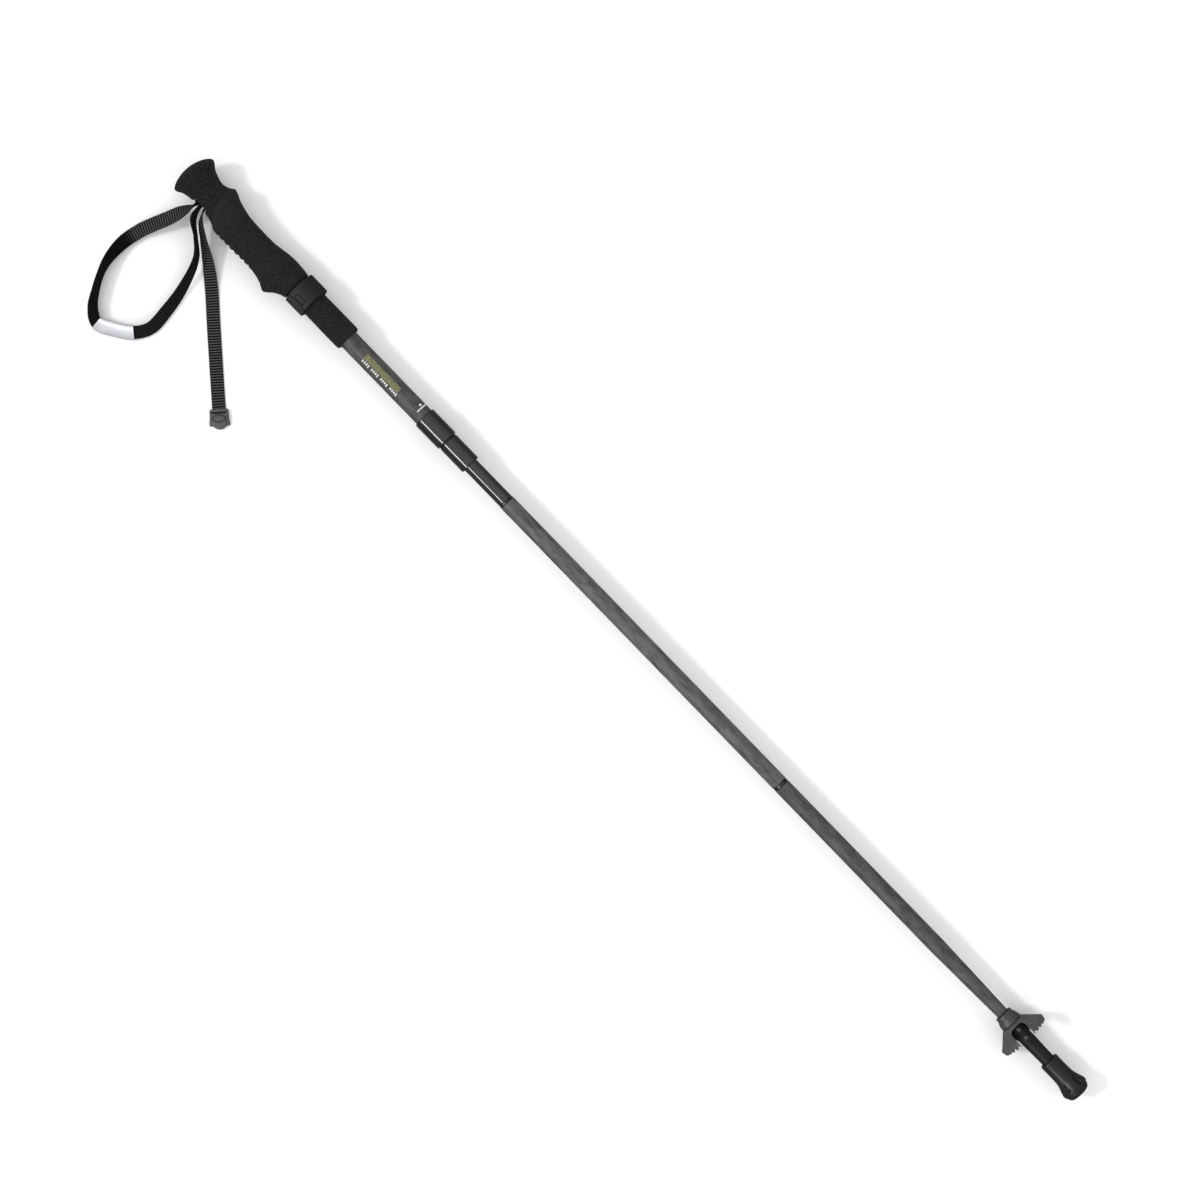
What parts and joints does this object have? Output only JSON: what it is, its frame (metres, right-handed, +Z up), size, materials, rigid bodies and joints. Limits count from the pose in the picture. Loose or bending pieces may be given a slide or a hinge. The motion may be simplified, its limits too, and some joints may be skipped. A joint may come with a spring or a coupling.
{
  "type": "folding trekking pole",
  "caption": "Folding, telescoping hiking pole with a foam grip, webbing wrist strap, twist lock, jointed carbon tubes, small notched basket and rubber tip.",
  "frame": {"origin": "centre of the flat sole of the rubber tip", "axes": "+X along the pole from the tip to the grip, +Z up from the surface that the pole lies on, +Y the side of the wrist strap"},
  "size_m": [1.1409, 0.1823, 0.0474],
  "materials": {
    "foam": "matt closed-cell foam, fine grain",
    "grip_plastic": "moulded, matt",
    "steel": "turned",
    "webbing": "ribbed black webbing",
    "silver_sleeve": "silver, satin",
    "grey_plastic": "moulded, dark grey",
    "keeper_rubber": "matt rubber",
    "keeper_plastic": "moulded, satin",
    "carbon": "satin carbon composite, faint mottle",
    "gloss_black": "gloss black",
    "gloss_rod": "gloss black anodised",
    "black_alloy": "black anodised",
    "cord": "braided",
    "basket_plastic": "moulded, satin",
    "shaft_plastic": "moulded, matt",
    "carbide": "sintered carbide",
    "tip_rubber": "moulded rubber, satin"
  },
  "bodies": {
    "handle": {"grip_foam": "foam", "grip_core": "grip_plastic", "strap_pin": "steel", "strap_wedge": "grip_plastic", "foam_extension": "foam", "wrist_strap_loop": "webbing", "strap_sleeve": "silver_sleeve", "strap_tail": "webbing", "strap_end_stop": "grey_plastic", "keeper_band": "keeper_rubber", "keeper_pin": "steel", "upper_tube": "carbon", "upper_collar": "gloss_black", "lock_seal": "keeper_rubber"},
    "keeper_buckle": {"keeper_latch": "keeper_plastic"},
    "twist_lock": {"lock_nut": "gloss_black", "lock_collet": "grip_plastic"},
    "inner_rod": {"telescoping_rod": "gloss_rod", "rod_bush": "grip_plastic", "upper_ferrule": "black_alloy", "button_spring": "steel", "cord_anchor": "black_alloy", "cord_spring": "steel"},
    "button": {"snap_button": "steel"},
    "upper_link": {"tension_cord_upper": "cord", "cord_slider": "grip_plastic"},
    "middle_section": {"middle_tube": "carbon", "lower_ferrule": "black_alloy", "tension_cord_middle": "cord"},
    "lower_link": {"tension_cord_link": "cord"},
    "lower_section": {"lower_tube": "carbon", "tension_cord_lower": "cord", "cord_stop": "black_alloy", "basket_nut": "basket_plastic", "basket": "basket_plastic", "tip_shaft": "shaft_plastic", "carbide_tip": "carbide"},
    "tip_cover": {"rubber_tip": "tip_rubber", "tip_washer": "steel"}
  },
  "joints": [
    {"name": "keeper_open", "type": "hinge", "parent": "handle", "child": "keeper_buckle", "pos_m": [0.984, 0.01118, -0.00938], "axis": [-1, 0, 0], "range_deg": [0, 95]},
    {"name": "lock_twist", "type": "hinge", "parent": "handle", "child": "twist_lock", "pos_m": [0.79, 0, 0], "axis": [1, 0, 0], "range_deg": [0, 180]},
    {"name": "telescope", "type": "slide", "parent": "handle", "child": "inner_rod", "axis": [-1, 0, 0], "range_m": [-0.02, 0.161]},
    {"name": "button_press", "type": "slide", "parent": "inner_rod", "child": "button", "axis": [0, 0, 1], "range_m": [0, 0.002], "stiffness_N_per_m": 800, "springref_m": -0.001, "deforming": ["button_spring"]},
    {"name": "upper_pull", "type": "slide", "parent": "inner_rod", "child": "upper_link", "axis": [-1, 0, 0], "range_m": [0, 0.05], "deforming": ["cord_spring"]},
    {"name": "upper_fold", "type": "hinge", "parent": "upper_link", "child": "middle_section", "pos_m": [0.724, -0.0166, 0], "axis": [0, 0, 1], "range_deg": [0, 180], "stiffness_Nm_per_rad": 0.15, "springref_deg": -57.3},
    {"name": "lower_pull", "type": "slide", "parent": "middle_section", "child": "lower_link", "axis": [-1, 0, 0], "range_m": [0, 0.05]},
    {"name": "lower_fold", "type": "hinge", "parent": "lower_link", "child": "lower_section", "pos_m": [0.375, 0, 0.0105], "axis": [0, 1, 0], "range_deg": [0, 180], "stiffness_Nm_per_rad": 0.2, "springref_deg": -91.67},
    {"name": "tip_pull", "type": "slide", "parent": "lower_section", "child": "tip_cover", "axis": [-1, 0, 0], "range_m": [0, 0.03]}
  ],
  "couplings": [
    {"joint": "upper_pull", "follows": "upper_fold", "m_per_rad": 0.015915},
    {"joint": "lower_pull", "follows": "lower_fold", "m_per_rad": 0.015915}
  ]
}
